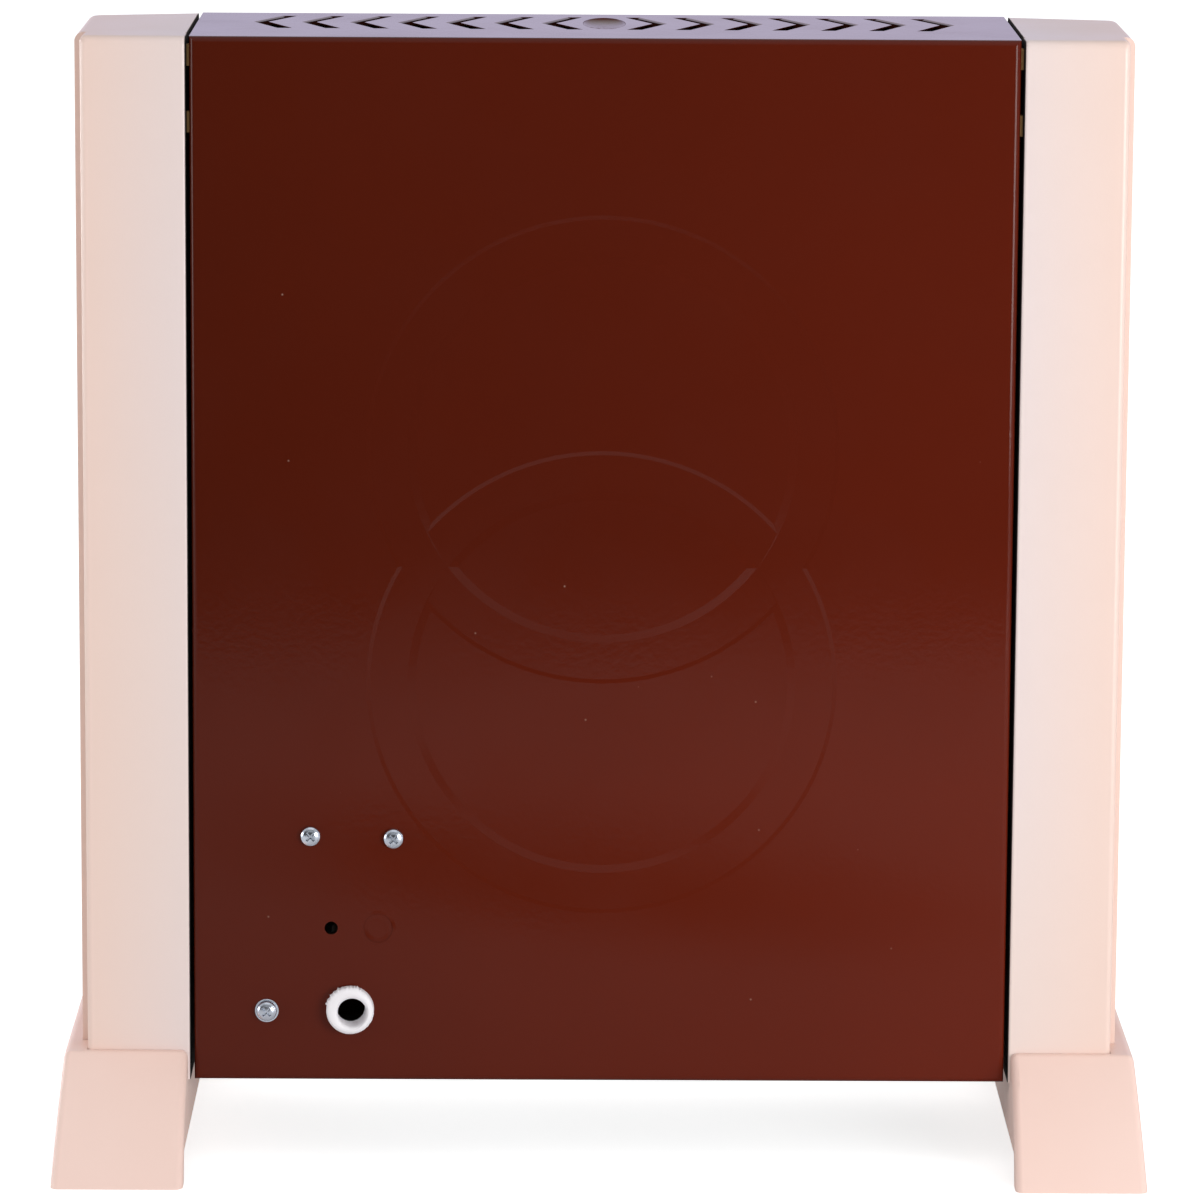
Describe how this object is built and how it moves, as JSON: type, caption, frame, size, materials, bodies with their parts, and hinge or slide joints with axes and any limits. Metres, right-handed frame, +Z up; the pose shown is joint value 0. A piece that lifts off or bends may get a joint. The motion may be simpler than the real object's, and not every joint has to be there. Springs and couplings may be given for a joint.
{
  "type": "quartz heater",
  "caption": "Flat free-standing radiant heater: folded steel casing with louvred top between two plastic columns on arched feet, quartz tubes behind a wire guard, rocker switches.",
  "frame": {"origin": "on the floor, at the bottom centre of the bounding box", "axes": "+Z up, the radiant front faces -Y, the back with the cord bush faces +Y, +X to the right of someone who faces the front"},
  "size_m": [0.4246, 0.188, 0.442],
  "materials": {
    "brown_enamel": "gloss",
    "cream_plastic": "satin",
    "foot_plastic": "satin",
    "zinc": "bright zinc",
    "white_plastic": "matte",
    "polished_sheet": "polished",
    "galvanised_sheet": "galvanised",
    "quartz_glass": "clear",
    "resistance_wire": "oxidised",
    "ceramic": "matte",
    "chrome_wire": "bright",
    "black_plastic": "satin",
    "brass": "plain",
    "lead_sleeve": "matte"
  },
  "bodies": {
    "heater": {"base_plate": "galvanised_sheet", "base_screws": "zinc", "clamp_screw": "zinc", "clamp_washer": "zinc", "column_cover_left": "cream_plastic", "column_cover_right": "cream_plastic", "column_left": "cream_plastic", "column_right": "cream_plastic", "column_screws": "zinc", "cord_bush": "white_plastic", "cord_clamp": "white_plastic", "earth_nut": "brass", "earth_stud": "brass", "end_caps_left": "ceramic", "end_caps_right": "ceramic", "foot_left": "foot_plastic", "foot_right": "foot_plastic", "foot_screws": "zinc", "front_fascia": "brown_enamel", "heating_coil_1": "resistance_wire", "heating_coil_2": "resistance_wire", "heating_coil_3": "resistance_wire", "heating_coil_4": "resistance_wire", "pivot_pin": "zinc", "quartz_tube_1": "quartz_glass", "quartz_tube_2": "quartz_glass", "quartz_tube_3": "quartz_glass", "quartz_tube_4": "quartz_glass", "rear_casing": "brown_enamel", "reflector": "polished_sheet", "rocker_housing_1": "black_plastic", "rocker_housing_2": "black_plastic", "strap_common": "brass", "strap_lower": "brass", "strap_upper": "brass", "terminal_block": "ceramic", "tip_microswitch": "black_plastic", "tip_switch_bracket": "galvanised_sheet", "tip_switch_screws": "zinc", "tube_carrier_left": "galvanised_sheet", "tube_carrier_right": "galvanised_sheet", "wire_guard": "chrome_wire", "wiring": "lead_sleeve"},
    "rocker_one": {"rocker_1": "black_plastic"},
    "rocker_two": {"rocker_2": "black_plastic"},
    "pendulum": {"tip_pendulum": "brass"}
  },
  "joints": [
    {"name": "rocker_one_tilt", "type": "hinge", "parent": "heater", "child": "rocker_one", "pos_m": [0.07, -0.0515, 0.085], "axis": [-1, 0, 0], "range_deg": [0, 24]},
    {"name": "rocker_two_tilt", "type": "hinge", "parent": "heater", "child": "rocker_two", "pos_m": [0.106, -0.0515, 0.085], "axis": [-1, 0, 0], "range_deg": [0, 24]},
    {"name": "pendulum_swing", "type": "hinge", "parent": "heater", "child": "pendulum", "pos_m": [0.09675, 0.0254, 0.1276], "axis": [1, 0, 0], "range_deg": [-40, 40]}
  ]
}
